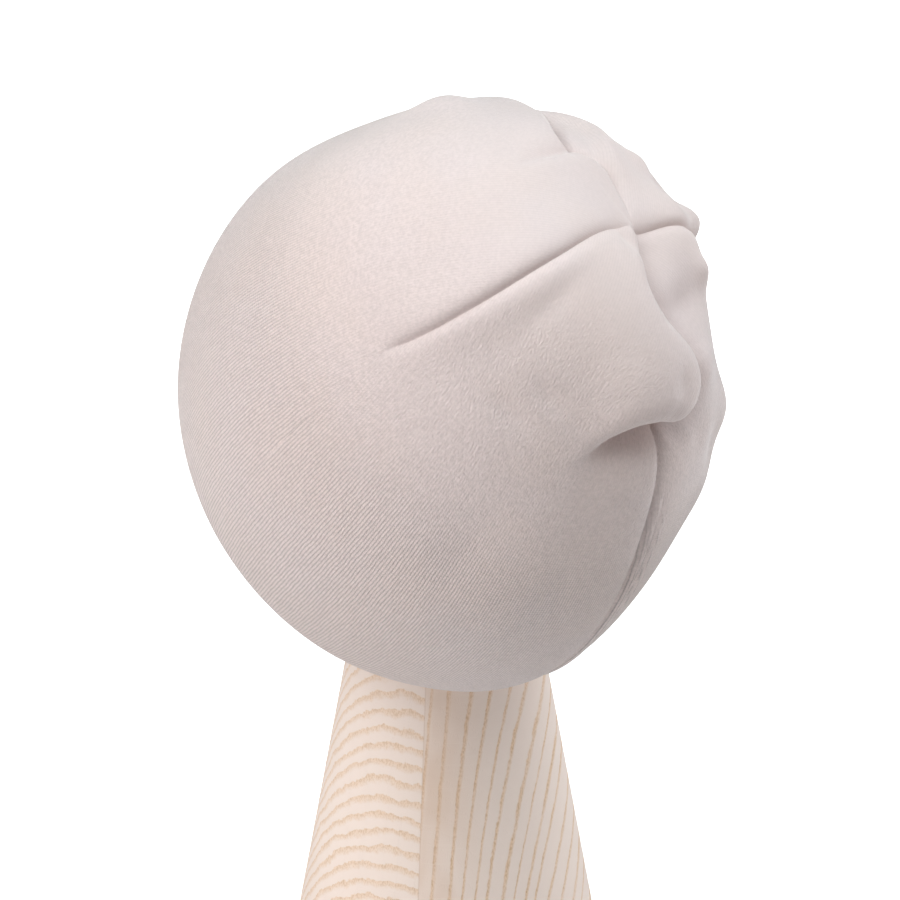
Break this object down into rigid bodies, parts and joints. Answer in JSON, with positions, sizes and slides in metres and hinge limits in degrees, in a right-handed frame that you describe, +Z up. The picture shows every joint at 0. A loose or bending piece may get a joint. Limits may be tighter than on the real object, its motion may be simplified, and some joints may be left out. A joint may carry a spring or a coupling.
{
  "type": "beanie on a wooden stand",
  "caption": "Child's soft jersey beanie with a darted, slouched crown and a back seam, worn by a plain turned wooden cone stand.",
  "frame": {"origin": "centre of the stand's flat base, on the stand's turning axis", "axes": "+Z up along the stand's axis; a wearer of the beanie would face -Y, with the back seam towards +Y and the wearer's left at +X"},
  "size_m": [0.143, 0.1856, 0.3133],
  "materials": {
    "jersey": "matte fine knit",
    "ash": "sanded, unvarnished"
  },
  "bodies": {
    "root": {"beanie": "jersey", "stand": "ash"}
  },
  "joints": []
}
